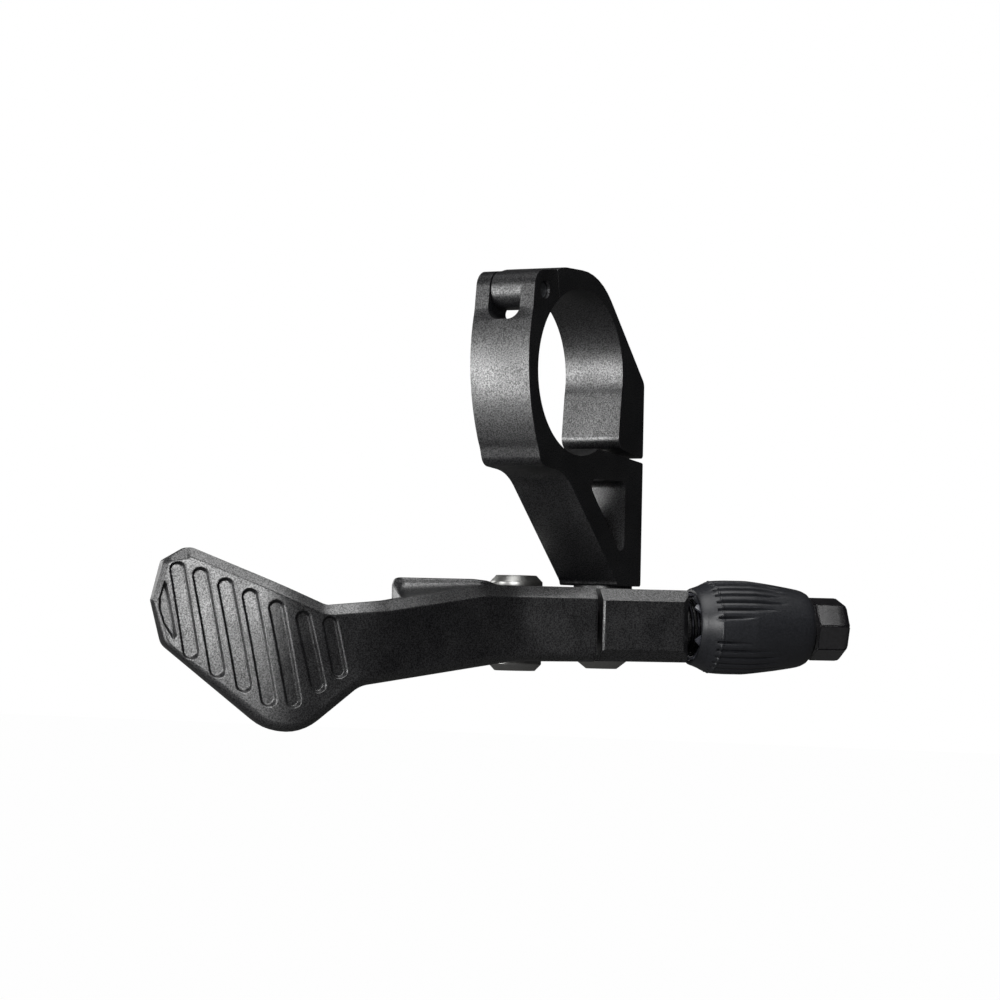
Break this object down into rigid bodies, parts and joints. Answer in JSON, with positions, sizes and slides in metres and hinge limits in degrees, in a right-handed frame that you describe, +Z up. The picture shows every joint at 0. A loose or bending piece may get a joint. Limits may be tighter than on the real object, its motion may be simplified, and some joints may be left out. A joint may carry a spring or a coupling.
{
  "type": "dropper post remote lever",
  "caption": "Thumb lever remote with a hinged handlebar clamp, a ribbed paddle on a vertical pivot, a far-side cable clamp and a ribbed barrel adjuster on the cable line.",
  "frame": {"origin": "centre of the handlebar bore, halfway along its width", "axes": "+X along the handlebar toward the stem, +Y forward away from the rider, +Z up"},
  "size_m": [0.0643, 0.0805, 0.0617],
  "materials": {
    "anodised_black": "bead blasted and anodised black, satin",
    "barrel_black": "anodised black, semi-gloss",
    "ring_dark": "anodised dark grey, satin",
    "steel_bright": "zinc plated, fine turned",
    "steel_plain": "ground, plain",
    "spring_steel": "drawn wire",
    "bronze": "sintered bearing bronze",
    "washer_polymer": "natural acetal, matt",
    "grip_rubber": "moulded satin rubber",
    "seal_rubber": "smooth rubber"
  },
  "bodies": {
    "base": {"clamp_base": "anodised_black", "hinge_pin": "steel_plain", "lever_body": "anodised_black", "mount_bolt": "steel_bright", "pivot_bush": "bronze", "thrust_washer_upper": "washer_polymer", "thrust_washer_lower": "washer_polymer", "return_spring": "spring_steel", "detent_spring": "spring_steel"},
    "jaw": {"clamp_jaw": "anodised_black"},
    "clamp_screw": {"clamp_bolt": "steel_bright"},
    "thumb_lever": {"lever": "anodised_black", "anchor_bolt": "steel_bright", "anchor_washer": "steel_plain", "pivot_bolt": "steel_bright", "pivot_nut": "steel_bright"},
    "carriage": {"detent_ring": "ring_dark"},
    "adjuster": {"adjuster_barrel": "barrel_black", "adjuster_sleeve": "grip_rubber", "adjuster_oring": "seal_rubber"}
  },
  "joints": [
    {"name": "jaw_hinge", "type": "hinge", "parent": "base", "child": "jaw", "pos_m": [0, -0.00976, 0.01018], "axis": [1, 0, 0], "range_deg": [0, 1.5]},
    {"name": "clamp_screw_travel", "type": "slide", "parent": "base", "child": "clamp_screw", "axis": [0, 0.0523, 0.9986], "range_m": [0, 0.00075]},
    {"name": "lever_pivot", "type": "hinge", "parent": "base", "child": "thumb_lever", "pos_m": [-0.00957, 0.00755, -0.0335], "axis": [0, 0, 1], "range_deg": [-28, 0], "stiffness_Nm_per_rad": 0.05, "springref_deg": 28.65, "deforming": ["return_spring"]},
    {"name": "adjuster_travel", "type": "slide", "parent": "base", "child": "carriage", "axis": [0.6561, 0.7547, 0], "range_m": [0, 0.004], "deforming": ["detent_spring"]},
    {"name": "adjuster_turn", "type": "hinge", "parent": "carriage", "child": "adjuster", "pos_m": [0.00294, 0.01204, -0.0335], "axis": [0.6561, 0.7547, 0], "range_deg": [0, 1810]}
  ],
  "couplings": [
    {"joint": "clamp_screw_travel", "follows": "jaw_hinge", "m_per_rad": 0.028},
    {"joint": "adjuster_turn", "follows": "adjuster_travel", "rad_per_m": 7854}
  ]
}
